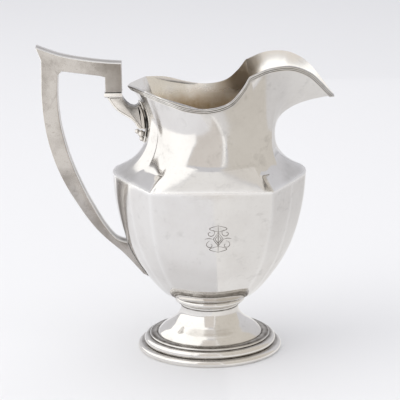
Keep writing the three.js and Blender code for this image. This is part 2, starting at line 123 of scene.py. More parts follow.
HANDLE_HALF_WIDTH = 6.4
HANDLE_ROUND = 1.5
HANDLE_TAPER = 0.12
LEG_END_Z = 215
TAIL_TOP_Z = 92
TAIL_END_Z = 63
HANDLE_TOP = [
    (-132.4, 250.5), (-124.5, 247.4), (-114.5, 244), (-104, 241.7), (-90.5, 239.6), (-77, 238.2),
    (-67.4, 237.7),
]
HANDLE_UNDER = [(-80.3, 226.9), (-84, 227.9), (-98, 229.8), (-113, 231.8), (-115.9, 228.8)]
HANDLE_INNER = [
    (-115.9, 228.8), (-116.7, 214.5), (-116.3, 200.5), (-114.6, 186), (-109, 163), (-101, 141.5),
    (-91.6, 122), (-81.5, 104.2), (-74, 95.2), (-67, TAIL_TOP_Z),
]
HANDLE_OUTER = [
    (-51.6, TAIL_END_Z), (-60, 73.2), (-70.2, 84.6), (-82, 95.3), (-93.5, 108.2), (-104.5, 125),
    (-114.3, 143.2), (-121.7, 162), (-126.5, 182.3), (-128.7, 200.7), (-129.3, 214.6), (-128.9, 228.4),
    (-128.6, 240.5),
]
BAND_X = (-80.9, -67.2)
BAND_Z = (211.1, 214.9)
BAND_HALF_WIDTH = 7.1
BRACKET_HALF_WIDTH = 4.6
BRACKET_UNDER = [
    (-79.2, 211), (-77.8, 208.6), (-74.6, 203.6), (-71.1, 199.6), (-66.1, 196.2), (-61.2, 193),
    (-57.8, 189.6), (-56.4, 186.4), (-54.6, 184.9),
]
BRACKET_THROAT = [
    (-54.9, 204.6), (-57.4, 202.8), (-60.3, 203.1), (-63.6, 205.3), (-66.4, 208.8), (-67.6, 211),
]
LEAF_Z = (174, 207)
LEAF_HALF_WIDTH = 4.2
LEAF_THICKNESS = 1.5
LEAF_STEPS = 24
BEADS = {
    "scroll_knob": (-56.3, 182.2, 1.9),
    "bead_large": (-53.2, 180.4, 2.8),
    "bead_small": (-52.8, 176.3, 2.0),
}


# ---------------------------------------------------------------- small tools
def mix(a, b, t):
    return a + (b - a) * t


def clamp01(t):
    return min(1.0, max(0.0, t))


def place(x, y, z):
    """A point about the body's axis in millimetres, as a point of the frame in metres."""
    return Vector(((x + AXIS_X) * MM, y * MM, z * MM))


def spline(points, t, even=False):
    """A Catmull-Rom curve through points at t from 0 to 1, centripetal unless even."""
    points = [Vector(p) for p in points]
    spot = clamp01(t) * (len(points) - 1)
    i = min(len(points) - 2, int(spot))
    t = spot - i
    p1, p2 = points[i], points[i + 1]
    if even:
        p0 = points[max(i - 1, 0)]
        p3 = points[min(i + 2, len(points) - 1)]
        m1 = (p2 - p0) / 2
        m2 = (p3 - p1) / 2
    else:
        p0 = points[i - 1] if i else p1 * 2 - p2
        p3 = points[i + 2] if i + 2 < len(points) else p2 * 2 - p1
        d0, d1, d2 = [max(1e-6, (b - a).length) ** 0.5 for a, b in ((p0, p1), (p1, p2), (p2, p3))]
        m1 = ((p1 - p0) / d0 - (p2 - p0) / (d0 + d1) + (p2 - p1) / d1) * d1
        m2 = ((p2 - p1) / d1 - (p3 - p1) / (d1 + d2) + (p3 - p2) / d2) * d1
    ends = p1 * (2 * t**3 - 3 * t**2 + 1) + p2 * (3 * t**2 - 2 * t**3)
    return ends + m1 * (t**3 - 2 * t**2 + t) + m2 * (t**3 - t**2)


def fair(points, steps):
    """Points along a smooth curve through the given ones."""
    return [tuple(spline(points, i / steps)) for i in range(steps + 1)]


def bend(a, b, c, t):
    """A quadratic bend from a towards b and on to c."""
    return a.lerp(b, t).lerp(b.lerp(c, t), t)


def finish_piece(bm, name, materials, nodes, sharp=40):
    """Turns a bmesh into a smooth-shaded piece that rides on the body and stands for its nodes."""
    for edge in bm.edges:
        edge.smooth = len(edge.link_faces) != 2 or edge.calc_face_angle(0) < math.radians(sharp)
    for face in bm.faces:
        face.smooth = True
    mesh = bpy.data.meshes.new(name)
    bm.to_mesh(mesh)
    bm.free()
    for material in materials:
        mesh.materials.append(material)
    piece = bpy.data.objects.new(name, mesh)
    bpy.context.scene.collection.objects.link(piece)
    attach(piece, "root")
    if nodes:
        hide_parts(*nodes)
    return piece


def sheet_of(rings, closed, tarnish_and_shade=None):
    """A grid bent to a table of rings, welded where the rings close, with each column's tarnish and painted
    shade.
    """
    rows = len(rings) - 1
    columns = len(rings[0]) - (0 if closed else 1)
    bm = bmesh.new()
    layer = bm.verts.layers.float.new("tarnish_and_shade") if tarnish_and_shade else None
    bmesh.ops.create_grid(bm, x_segments=columns, y_segments=rows, size=1)
    for vert in bm.verts:
        column = round((vert.co.x + 1) / 2 * columns) % len(rings[0])
        row = round((vert.co.y + 1) / 2 * rows)
        vert.co = rings[row][column]
        if tarnish_and_shade:
            vert[layer] = tarnish_and_shade[column]
    bmesh.ops.remove_doubles(bm, verts=bm.verts, dist=1e-6)
    return bm


def tarnish_and_shade_layer(bm, amount):
    """Writes how much tarnish and painted shade darken each point, from 0 to 1, for the finish to read."""
    layer = bm.verts.layers.float.new("tarnish_and_shade")
    for vert in bm.verts:
        vert[layer] = clamp01(amount(vert))


# ---------------------------------------------------------------- body shape
def plan_point(panel, s, melt):
    """A point of one quarter of the body's plan, melted by a share into the plain oval."""
    a, b = PLAN_CORNERS[panel], PLAN_CORNERS[panel + 1]
    x = mix(a[0], b[0], s)
    y = mix(a[1], b[1], s)
    if panel == 0:
        y = mix(a[1], b[1], s * s)
    if panel == 3:
        x = 1 - (1 - a[0]) * (1 - s) ** 2
    angle = mix(math.acos(BASE_CORNER_X[panel]), math.acos(BASE_CORNER_X[panel + 1]), s)
    return mix(x, math.cos(angle), melt), mix(y, -BASE_OVAL * math.sin(angle), melt)


def panel_places(panel):
    """Places across a panel, close together near its ridges."""
    count = PANEL_STEPS[panel]
    ease = {0: lambda t: 1 - (1 - t) ** 1.7, 3: lambda t: t**1.6}.get(panel, lambda t: t * t * (3 - 2 * t))
    return [ease(i / count) for i in range(count)]


QUARTER = [(panel, s) for panel in range(4) for s in panel_places(panel)]
AROUND = 4 * len(QUARTER)
RIDGES = [sum(PANEL_STEPS[:i]) for i in (1, 2, 3)]


def column(k):
    """Panel, place across it and the two mirror signs of a column round the body."""
    turn, i = divmod(k % AROUND, len(QUARTER))
    panel, s = QUARTER[i]
    if turn % 2:
        panel, s = QUARTER[len(QUARTER) - i] if i else (3, 1.0)
    return panel, s, 1 if turn < 2 else -1, 1 if turn in (0, 3) else -1


COLUMNS = [column(k) for k in range(AROUND)]
STATIONS = [4 + sx * (panel + s) for panel, s, sx, sy in COLUMNS]


def plan_ring(half, z, melt):
    ring = []
    for panel, s, sx, sy in COLUMNS:
        x, y = plan_point(panel, s, melt)
        ring.append(Vector((sx * x * half, sy * y * half, z)))
    return ring


def station_ring(stations, creases):
    """Places at every column, on curves that are smooth between the creases."""
    spans = []
    for start, end in zip(creases, creases[1:]):
        keys = [key for key in sorted(stations) if start <= key <= end]
        flip = [(x, -y, z) for x, y, z in (stations[key] for key in reversed(keys))]
        head = flip[:-1] if start == 0 else []
        tail = flip[1:] if end == 8 else []
        spans.append((keys, len(head), head + [stations[key] for key in keys] + tail))
    ring = []
    for (panel, s, sx, sy), station in zip(COLUMNS, STATIONS):
        keys, before, points = next(span for span in spans if station <= span[0][-1] + 1e-6)
        i = max(j for j in range(len(keys) - 1) if keys[j] <= station + 1e-6)
        share = (station - keys[i]) / (keys[i + 1] - keys[i])
        p = spline(points, (before + i + share) / (len(points) - 1))
        ring.append(Vector((p.x, sy * p.y, p.z)))
    return ring


def ridge_share(panel, s):
    """How much a column belongs to a small flat corner roof instead of a hollow one."""
    if panel == 1:
        return 1.0
    if panel == 0:
        return clamp01((s - ROOF_START) / (1 - ROOF_START))
    return clamp01(1 - s / ROOF_FADE) if panel == 2 else 0.0


def eased(count, sharp_start, sharp_end):
    """Rows from 0 to 1, closer together at the ends that meet an edge."""
    rows = []
    for i in range(count + 1):
        t = i / count
        if sharp_start and sharp_end:
            t = t * t * (3 - 2 * t)
        elif sharp_start:
            t = t**1.8
        elif sharp_end:
            t = 1 - (1 - t) ** 1.8
        rows.append(t)
    return rows


def body_rings():
    """Every ring of the outer body from the bottom of the bowl to the rim."""
    rings = []
    for t in eased(BOWL_ROWS, False, True):
        p = spline(BOWL_PROFILE, t, even=True)
        rings.append(plan_ring(p.x, p.y, clamp01((SHOULDER_Z - p.y) / (SHOULDER_Z - PANELS_END_Z))))
    shoulder = rings[-1]
    neck = station_ring(NECK, NECK_CREASES)
    rim = station_ring(RIM, RIM_CREASES)
    knees = []
    for a, n, (panel, s, sx, sy) in zip(shoulder, neck, COLUMNS):
        lift = COVE_LIFT[0]
        if panel == 0:
            lift = mix(COVE_LIFT[1], COVE_LIFT[0], clamp01((s - LIFT_END) / (1 - LIFT_END)))
        knees.append(Vector((n.x, n.y, mix(a.z, n.z, lift))))
    for t in eased(COVE_ROWS, True, False)[1:]:
        ring = []
        for k, (panel, s, sx, sy) in enumerate(COLUMNS):
            p = bend(shoulder[k], knees[k], neck[k], t)
            if t < ROOF_END:
                roof_end = bend(shoulder[k], knees[k], neck[k], ROOF_END)
                p = p.lerp(shoulder[k].lerp(roof_end, t / ROOF_END), ridge_share(panel, s))
            ring.append(p)
        rings.append(ring)
    for row in range(1, NECK_ROWS + 1):
        ring = []
        for k, station in enumerate(STATIONS):
            i = min(7, int(station))
            height = mix(neck[k].z, rim[k].z, mix(FLARE[i], FLARE[i + 1], station - i))
            flare = Vector((neck[k].x, neck[k].y, height))
            ring.append(bend(neck[k], flare, rim[k], row / NECK_ROWS))
        rings.append(ring)
    return rings


def soften(rings):
    """Rounds the standing ridges and the shoulder edge a little, as hammered sheet has them."""
    ridge_columns = set()
    for k in range(AROUND):
        turn, i = divmod(k, len(QUARTER))
        along = len(QUARTER) - i if turn % 2 else i
        if min(abs(along - ridge) for ridge in RIDGES) < SOFT_RIDGE:
            ridge_columns.add(k)
    for _ in range(SOFT_RIDGE):
        for row in range(SOFT_START, BOWL_ROWS + COVE_ROWS):
            ring = rings[row]
            moved = {k: ring[k] / 2 + (ring[k - 1] + ring[(k + 1) % AROUND]) / 4 for k in ridge_columns}
            for k, p in moved.items():
                ring[k] = p
        rows = range(BOWL_ROWS - SOFT_RIDGE + 1, BOWL_ROWS + SOFT_RIDGE)
        moved = {}
        for row in rows:
            moved[row] = [
                p / 2 + (a + b) / 4 for p, a, b in zip(rings[row], rings[row - 1], rings[row + 1])
            ]
        for row, ring in moved.items():
            rings[row] = ring
    return rings


BODY = soften(body_rings())
RIM_ROW = len(BODY) - 1
HIGHLIGHT_RIDGES = RIDGES[:2]          # the columns of the ridges that get a painted highlight
HIP_ROWS = 17                       # rows over which a corner roof's hip gets a painted highlight


def body_normal(row, k):
    up = BODY[min(row + 1, RIM_ROW)][k] - BODY[max(row - 1, 0)][k]
    along = BODY[row][(k + 1) % AROUND] - BODY[row][k - 1]
    return along.cross(up).normalized()


def reach(z, rings, k):
    """Distance of one column from the axis at a height."""
    points = [ring[k] for ring in rings]
    for a, b in zip(points, points[1:]):
        if a.z <= z <= b.z:
            return mix(a.x, b.x, (z - a.z) / (b.z - a.z))
    return points[-1].x


HANDLE_END = 3 * len(QUARTER)       # the column at the middle of the handle end
ROOF_HEIGHT = 13                    # of the corner roofs above the shoulder edge


# ---------------------------------------------------------------- finishes
def node(tree, kind, x, y, **values):
    made = tree.nodes.new(kind)
    made.location = (x, y)
    for key, value in values.items():
        if hasattr(made, key):
            setattr(made, key, value)
        else:
            made.inputs[key.replace("_", " ")].default_value = value
    return made


def cloud(tree, coords, scale, detail, low, high, y, rough=0.6):
    """Soft noise, stretched between two levels to a mask."""
    noise = node(tree, "ShaderNodeTexNoise", -900, y, Scale=scale, Detail=detail, Roughness=rough)
    tree.links.new(coords, noise.inputs["Vector"])
    ramp = node(tree, "ShaderNodeMapRange", -700, y)
    ramp.inputs["From Min"].default_value = low
    ramp.inputs["From Max"].default_value = high
    tree.links.new(noise.outputs["Fac"], ramp.inputs["Value"])
    return ramp.outputs["Result"]


def blend_colour(tree, factor, a, b, x, y):
    both = node(tree, "ShaderNodeMix", x, y, data_type="RGBA")
    pairs = ((both.inputs[0], factor), (both.inputs[6], a), (both.inputs[7], b))
    for socket, value in pairs:
        if isinstance(value, bpy.types.NodeSocket):
            tree.links.new(value, socket)
        else:
            socket.default_value = value
    return both.outputs[2]


def maths(tree, kind, a, b, x, y, clamp=False):
    made = node(tree, "ShaderNodeMath", x, y, operation=kind, use_clamp=clamp)
    for socket, value in zip(made.inputs, (a, b)):
        if isinstance(value, bpy.types.NodeSocket):
            tree.links.new(value, socket)
        else:
            socket.default_value = value
    return made.outputs[0]


PAINTED_HIGHLIGHT = (0.97, 0.965, 0.955, 1)      # painted highlight colour for the shoulder edge, the ridges and the handle's edges


def silver(name, bright, dull, dark, rough=(0.05, 0.14), patina=0.5, dents=0.25, scratch=0.12):
    """Old polished silver: cloudy patina, wiping scratches, soft dents, tarnish in the hollows together with
    painted shade, and a painted highlight.
    """
    material = bpy.data.materials.new(name)
    material.use_nodes = True
    tree = material.node_tree
    tree.nodes.clear()
    out = node(tree, "ShaderNodeOutputMaterial", 600, 0)
    shader = node(tree, "ShaderNodeBsdfPrincipled", 300, 0)
    shader.inputs["Metallic"].default_value = 1.0
    tree.links.new(shader.outputs[0], out.inputs[0])
    coords = node(tree, "ShaderNodeTexCoord", -1500, 0).outputs["Object"]

    clouds = cloud(tree, coords, 26, 7, 0.42, 0.66, 500)
    specks = cloud(tree, coords, 420, 3, 0.6, 0.72, 250)
    lanes = node(tree, "ShaderNodeMapping", -1250, -300)
    lanes.inputs["Rotation"].default_value = (0.35, 0.6, 0.2)
    lanes.inputs["Scale"].default_value = (60, 60, 2600)
    tree.links.new(coords, lanes.inputs["Vector"])
    wiped = cloud(tree, lanes.outputs[0], 1.0, 2, 0.35, 0.75, -300)
    crossed = node(tree, "ShaderNodeMapping", -1250, -550)
    crossed.inputs["Rotation"].default_value = (0.1, -0.9, 0.5)
    crossed.inputs["Scale"].default_value = (90, 90, 1900)
    tree.links.new(coords, crossed.inputs["Vector"])
    crossing = cloud(tree, crossed.outputs[0], 1.0, 2, 0.6, 0.7, -550)

    # Tarnish together with painted shade, read from the vertex layer, pulls the colour towards the dark one
    tarnish_and_shade = node(tree, "ShaderNodeAttribute", -1250, 800, attribute_name="tarnish_and_shade").outputs["Fac"]
    patchy = cloud(tree, coords, 160, 5, 0.3, 0.7, 750)
    uneven = maths(tree, "ADD", maths(tree, "MULTIPLY", patchy, 0.5, -500, 700), 0.6, -400, 700)
    darkened = maths(tree, "MULTIPLY", tarnish_and_shade, uneven, -300, 750, True)

    tint = blend_colour(tree, maths(tree, "MULTIPLY", clouds, patina, -500, 500), bright, dull, -250, 450)
    tint = blend_colour(tree, maths(tree, "MULTIPLY", specks, 0.35, -500, 250), tint, dull, -100, 350)
    stains = cloud(tree, coords, 75, 8, 0.56, 0.70, 1250, rough=0.7)
    tint = blend_colour(tree, maths(tree, "MULTIPLY", stains, 0.35 * patina, -500, 1250), tint, dark, 0, 450)
    tint = blend_colour(tree, darkened, tint, dark, 80, 350)
    # Painted highlight: a near-white colour blended in where the vertex layer marks edges and ridges
    highlight = node(tree, "ShaderNodeAttribute", -1250, 1000, attribute_name="painted_highlight").outputs["Fac"]
    tint = blend_colour(tree, maths(tree, "MULTIPLY", highlight, 0.9, -500, 1000), tint, PAINTED_HIGHLIGHT, 200, 350)
    tree.links.new(tint, shader.inputs["Base Color"])

    gloss = maths(tree, "MULTIPLY", clouds, rough[1] - rough[0], -300, 100)
    gloss = maths(tree, "ADD", gloss, maths(tree, "MULTIPLY", darkened, 0.3, -300, 0), -150, 60)
    gloss = maths(tree, "ADD", gloss, maths(tree, "MULTIPLY", highlight, 0.2, -300, -60), -60, 60)
    gloss = maths(tree, "ADD", gloss, rough[0], 0, 60)
    tree.links.new(gloss, shader.inputs["Roughness"])

    ripples = node(tree, "ShaderNodeTexNoise", -900, -800, Scale=38, Detail=2, Roughness=0.45)
    tree.links.new(coords, ripples.inputs["Vector"])
    dent = node(tree, "ShaderNodeBump", -300, -700, Strength=dents, Distance=0.0006)
    tree.links.new(ripples.outputs["Fac"], dent.inputs["Height"])
    marks = maths(tree, "ADD", wiped, crossing, -500, -400)
    bump = node(tree, "ShaderNodeBump", -50, -400, Strength=scratch, Distance=0.00002)
    tree.links.new(marks, bump.inputs["Height"])
    tree.links.new(dent.outputs[0], bump.inputs["Normal"])
    tree.links.new(bump.outputs[0], shader.inputs["Normal"])
    return material


DARK = (0.10, 0.085, 0.07, 1)
BODY_SILVER = silver("body_silver", (0.80, 0.785, 0.765, 1), (0.68, 0.655, 0.63, 1), DARK)
# Its near-black dark colour paints shade into the grooves between the reeds, over their tarnish
RIM_SILVER = silver(
    "rim_silver", (0.82, 0.80, 0.77, 1), (0.66, 0.63, 0.60, 1), (0.012, 0.011, 0.01, 1), dents=0.05
)
FOOT_SILVER = silver(
    "foot_silver", (0.83, 0.81, 0.78, 1), (0.70, 0.67, 0.63, 1), DARK, rough=(0.07, 0.18)
)
# A darker copy of the silver: the handle's shading is painted into its colour, under its mottled tarnish
HANDLE_SILVER = silver(
    "handle_silver", (0.48, 0.452, 0.425, 1), (0.27, 0.245, 0.22, 1), DARK, rough=(0.2, 0.34), patina=0.9,
)
CAST_SILVER = silver(
    "cast_silver", (0.80, 0.775, 0.74, 1), (0.6, 0.56, 0.52, 1), (0.05, 0.045, 0.04, 1),
    rough=(0.12, 0.25), patina=0.7,
)
CUT_SILVER = silver(
    "cut_silver", (0.5, 0.47, 0.45, 1), (0.4, 0.37, 0.35, 1), (0.26, 0.24, 0.225, 1),
    rough=(0.3, 0.5), dents=0,
)
INSIDE_SILVER = silver(
    "inside_silver", (0.92, 0.90, 0.86, 1), (0.84, 0.80, 0.73, 1), (0.56, 0.43, 0.27, 1),
    rough=(0.18, 0.32), dents=0.5,
)


# ---------------------------------------------------------------- body pieces
def body_sheet(rings, name, node_name, tarnish_and_shade, inside_wear):
    """One raised half of the body: the outer sheet given its wall inwards, stained inside."""
    bm = sheet_of([[place(*p) for p in ring] for ring in rings], closed=True)
    bmesh.ops.recalc_face_normals(bm, faces=bm.faces)
    if sum(face.normal.dot(face.calc_center_median() - place(0, 0, 120)) for face in bm.faces) < 0:
        bmesh.ops.reverse_faces(bm, faces=bm.faces)
    outer = set(bm.faces)
    bmesh.ops.solidify(bm, geom=list(bm.faces), thickness=WALL * MM)
    bmesh.ops.recalc_face_normals(bm, faces=bm.faces)
    layer = bm.verts.layers.float.new("tarnish_and_shade")
    for vert in bm.verts:
        out = any(face in outer for face in vert.link_faces)
        vert[layer] = clamp01(tarnish_and_shade(vert.co / MM) if out else inside_wear(vert.co / MM))
    # Painted highlight along the shoulder edge, the bowl's ridges and the corner roofs' hips
    highlight_layer = bm.verts.layers.float.new("painted_highlight")
    for vert in bm.verts:
        if any(face in outer for face in vert.link_faces):
            edge = math.exp(-(((vert.co.z / MM - SHOULDER_Z + 0.4) / 1.5) ** 2))
            vert[highlight_layer] = max(edge, ridge_highlight(vert.co.x / MM - AXIS_X, vert.co.y / MM, vert.co.z / MM))
    for face in bm.faces:
        centre = face.calc_center_median() - place(0, 0, 0)
        centre.z = 0
        normal = Vector((face.normal.x, face.normal.y, 0))
        face.material_index = 1 if face not in outer and normal.dot(centre) < 0 else 0
    return finish_piece(bm, name, [BODY_SILVER, INSIDE_SILVER], [node_name], sharp=50)


def ridge_highlight(x, y, z):
    """How strongly a highlight is painted along the standing ridges of the bowl and the edges of the corner
    roofs.
    """
    if z > SHOULDER_Z + ROOF_HEIGHT:
        return 0.0
    spot = Vector((abs(x), abs(y), z))
    if z > SHOULDER_Z:
        hip = [ring[RIDGES[0]] for ring in BODY[BOWL_ROWS : BOWL_ROWS + HIP_ROWS]]
        gap = min((spot - Vector((abs(p.x), abs(p.y), p.z))).length for p in hip)
        return 0.95 * math.exp(-((gap / 1.1) ** 2))
    near = min(BODY[: BOWL_ROWS + 1], key=lambda ring: abs(ring[0].z - z))
    ridges = [near[k] for k in HIGHLIGHT_RIDGES]
    gap = min(math.hypot(spot.x - abs(p.x), spot.y - abs(p.y)) for p in ridges)
    return 0.38 * math.exp(-((gap / 1.9) ** 2))


def bowl_underside_shade(p):
    """Painted shade on the underside of the bowl, just above the collar."""
    return 0.5 * clamp01((52 - p.z) / 5)


def end_roof_darkening(p):
    """The hollow roofs at the two ends are made darker below the neck."""
    ends = clamp01((abs(p.x - AXIS_X) - 54) / 6)
    return 0.22 * ends * clamp01((178 - p.z) / 8)


def deep_stain(p):
    """The inside turns tan from the neck down."""
    return clamp01((208 - p.z) / 14)


BOWL = body_sheet(BODY[: BOWL_ROWS + 1], "bowl", "lower_body", bowl_underside_shade, deep_stain)
body_sheet(BODY[BOWL_ROWS:], "neck_and_roof", "upper_body", end_roof_darkening, deep_stain)


# ---------------------------------------------------------------- engraved ornament
ORNAMENT_CENTRE = (5, 112)          # a little right of the axis, half way down the front panel
ORNAMENT_SIZE = 12                  # half height
CUT_WIDTH = 0.62
SCROLL_CURL = 0.18                  # radius of a scroll's curled end, as a share of its whole radius


def scroll(start, turn, size, twist):
    """A spiral that opens out from its curled end. size is its centre and its radius."""
    points = []
    for i in range(29):
        t = i / 28
        angle = start + turn * t
        radius = size[2] * mix(SCROLL_CURL, 1, t)
        points.append((size[0] + twist * radius * math.cos(angle), size[1] + radius * math.sin(angle)))
    return points


def ornament_cuts():
    """A plain spray: a lozenge on a stem between paired scrolls and leaves."""
    cuts = [[(0, mix(-1.0, 1.0, i / 20)) for i in range(21)]]
    for radius in (0.2, 0.32):
        corners = [(0, radius * 1.5), (radius, 0), (0, -radius * 1.5), (-radius, 0), (0, radius * 1.5)]
        lozenge = []
        for a, b in zip(corners, corners[1:]):
            lozenge += [(mix(a[0], b[0], i / 6), mix(a[1], b[1], i / 6)) for i in range(7)]
        cuts.append(lozenge)
    for side in (-1, 1):
        for level in (-1, 1):
            cuts.append(scroll(0.6 * math.pi, -1.9 * math.pi * level, (side * 0.5, level * 0.42, 0.3), side))
            steps = [i / 16 for i in range(17)]
            cuts.append([(side * 0.55 * math.sin(math.pi * t), level * mix(0.52, 0.95, t)) for t in steps])
        cuts.append([(side * mix(0.36, 0.85, i / 10), 0.06 * math.sin(math.pi * i / 10)) for i in range(11)])
    return cuts


def ornament(bowl):
    """Lays a plain spray on the front panel: thin dark strips a hair proud of the silver, not real cuts."""
    bpy.context.view_layer.update()
    bm = bmesh.new()
    for cut in ornament_cuts():
        flat = [Vector(ORNAMENT_CENTRE) + Vector(p) * ORNAMENT_SIZE for p in cut]
        line = []
        for i, p in enumerate(flat):
            ahead = flat[min(i + 1, len(flat) - 1)] - flat[max(i - 1, 0)]
            side = Vector((-ahead.y, ahead.x)).normalized()
            swell = math.sin(math.pi * mix(0.04, 0.96, i / (len(flat) - 1)))
            half = CUT_WIDTH / 2 * (0.25 + 0.75 * swell)
            pair = []
            for q in (p - side * half, p + side * half):
                spot, normal = bowl.ray_cast(place(q.x, -120, q.y), Vector((0, 1, 0)))[1:3]
                pair.append(spot + normal * HAIR * MM)
            line.append(pair)
        rows = [[bm.verts.new(q) for q in pair] for pair in line]
        for a, b in zip(rows, rows[1:]):
            bm.faces.new((a[0], a[1], b[1], b[0]))
    bmesh.ops.recalc_face_normals(bm, faces=bm.faces)
    for face in bm.faces:
        if face.normal.y > 0:
            face.normal_flip()
    tarnish_and_shade_layer(bm, lambda vert: 1.0)
    finish_piece(bm, "engraved_spray", [CUT_SILVER], [])


ornament(BOWL)


# ---------------------------------------------------------------- reeded rim
def reed_profile():
    """Offsets out from the wall and down from the rim over three half-round reeds."""
    profile = [(HAIR, 0.0)]
    for reed in range(REEDS):
        for i in range(REED_POINTS + 1):
            angle = math.pi * i / REED_POINTS
            out = REED_GROOVE + (REED_DEPTH - REED_GROOVE) * math.sin(angle)
            profile.append((out, (reed + (1 - math.cos(angle)) / 2) * REED))
    profile.append((HAIR, REEDS * REED))
    return profile


def rim_strip(side, name, node_name):
    """Half of the reeded strip, from the handle end round to the spout's tip."""
    rings = []
    for i in range(AROUND // 2 + 1):
        k = (HANDLE_END + side * i) % AROUND
        out = body_normal(RIM_ROW, k)
        down = (BODY[RIM_ROW - 1][k] - BODY[RIM_ROW][k]).normalized()
        ring = []
        for offset, drop in reed_profile():
            p = BODY[RIM_ROW][k] + out * offset + down * drop
            p.y = side * min(side * p.y, -HAIR / 2)
            ring.append(place(*p))
        rings.append(ring)
    # Darkness in the grooves between the reeds: partly tarnish, partly painted shade
    grooves = []
    for offset, drop in reed_profile():
        grooves.append(clamp01(2.4 - 2.8 * (offset - REED_GROOVE) / (REED_DEPTH - REED_GROOVE)))
    grooves[0] = grooves[1] = 0
    bm = sheet_of(rings, closed=False, tarnish_and_shade=grooves)
    long_edges = [edge for edge in bm.edges if edge.is_boundary]
    bmesh.ops.holes_fill(bm, edges=long_edges, sides=0)
    bmesh.ops.recalc_face_normals(bm, faces=bm.faces)
    return finish_piece(bm, name, [RIM_SILVER], [node_name], sharp=60)


rim_strip(1, "reeds_near", "rim_moulding_near")
rim_strip(-1, "reeds_far", "rim_moulding_far")


# ---------------------------------------------------------------- foot
def oval_spin(profile, name, node_name, tarnish_and_shade):
    """A closed outline spun about the axis and pressed to the oval."""
    bm = bmesh.new()
    verts = [bm.verts.new((r * MM, 0, z * MM)) for r, z in profile]
    edges = [bm.edges.new((verts[i - 1], verts[i])) for i in range(len(verts))]
    bmesh.ops.spin(
        bm, geom=verts + edges, axis=(0, 0, 1), cent=(0, 0, 0), angle=math.tau, steps=SPIN_STEPS,
        use_merge=True,
    )
    bmesh.ops.scale(bm, vec=(1, OVAL, 1), verts=bm.verts)
    bmesh.ops.translate(bm, vec=(AXIS_X * MM, 0, 0), verts=bm.verts)
    bmesh.ops.recalc_face_normals(bm, faces=bm.faces)
    tarnish_and_shade_layer(bm, lambda vert: tarnish_and_shade(vert.co.z / MM))
    return finish_piece(bm, name, [FOOT_SILVER], [node_name])


def hollow(outer, wall):
    """An outer line of a spun shell closed by the same line drawn in by its wall."""
    inner = []
    for i, (r, z) in enumerate(outer):
        ahead = Vector(outer[min(i + 1, len(outer) - 1)]) - Vector(outer[max(i - 1, 0)])
        ahead.normalize()
        inner.append((r - wall * abs(ahead.y) - HAIR, z - wall * abs(ahead.x)))
    inner[-1] = (inner[-1][0], outer[-1][1])
    skirt = outer[0][0] - PEDESTAL_SKIRT
    return outer + [p for p in reversed(inner) if p[0] < skirt] + [(skirt, outer[0][1])]


def tarnish_and_shade_lines(*heights):
    """Dark lines in the grooves at these heights: tarnish in the joints, and in places a painted dark
    reflection.
    """
    return lambda z: max(math.exp(-(((z - height) / 0.45) ** 2)) for height in heights)


oval_spin(
    [FLANGE[0]] + fair(FLANGE[1:-1], 18) + [FLANGE[-1]], "foot_flange_bead", "foot_flange", tarnish_and_shade_lines(5.5)
)
oval_spin(
    [TORUS[0]] + fair(TORUS[1:-1], 20) + [TORUS[-1]], "foot_round", "foot_moulding", tarnish_and_shade_lines(5.4, 11.3)
)
# The dark line at the dome's base (13.1) is a painted dark reflection; those at 11.2 and 37.1 are tarnish in
# the joints
oval_spin(
    hollow(fair(PEDESTAL_STEP, 14) + fair(PEDESTAL_DOME, 40)[1:], PEDESTAL_WALL),
    "foot_dome", "foot_pedestal", tarnish_and_shade_lines(11.2, 13.1, 37.1),
)
oval_spin(
    [COLLAR_LOW[0]] + fair(COLLAR_LOW[1:], 8) + fair(COLLAR_BEAD[:-1], 20)[1:] + [COLLAR_BEAD[-1]],
    "neck_collar", "body_collar", tarnish_and_shade_lines(37.1, 39.2, 45.5),
)


# ---------------------------------------------------------------- handle and bracket
def slab(outline, half_width, round_, segments=3):
    """An outline in the x-z plane given its width in y, with its long edges rounded over."""
    bm = bmesh.new()
    face = bm.faces.new([bm.verts.new(place(x, -half_width, z)) for x, z in outline])
    grown = bmesh.ops.extrude_face_region(bm, geom=[face])
    verts = [item for item in grown["geom"] if isinstance(item, bmesh.types.BMVert)]
    bmesh.ops.translate(bm, vec=(0, 2 * half_width * MM, 0), verts=verts)
    bmesh.ops.recalc_face_normals(bm, faces=bm.faces)
    if round_:
        sides = [face for face in bm.faces if abs(face.normal.y) > 0.9]
        edges = list({edge for face in sides for edge in face.edges})
        bmesh.ops.bevel(
            bm, geom=edges, offset=round_ * MM, offset_type="OFFSET", affect="EDGES", segments=segments,
            profile=0.5, material=-1, clamp_overlap=True,
        )
    return bm


def handle_outline():
    tail = []
    for i in range(13):
        z = mix(TAIL_TOP_Z, TAIL_END_Z, i / 12)
        tail.append((reach(z, BODY[: BOWL_ROWS + 1], HANDLE_END) - 2 * HAIR, z))
    return (
        fair(HANDLE_TOP, 24)
        + [(HANDLE_TOP[-1][0], LEG_END_Z), (HANDLE_UNDER[0][0], LEG_END_Z)]
        + HANDLE_UNDER[:-1]
        + fair(HANDLE_INNER, 44)[:-1]
        + tail
        + [p for p in fair(HANDLE_OUTER, 52) if p[1] > TAIL_END_Z + 0.5]
    )


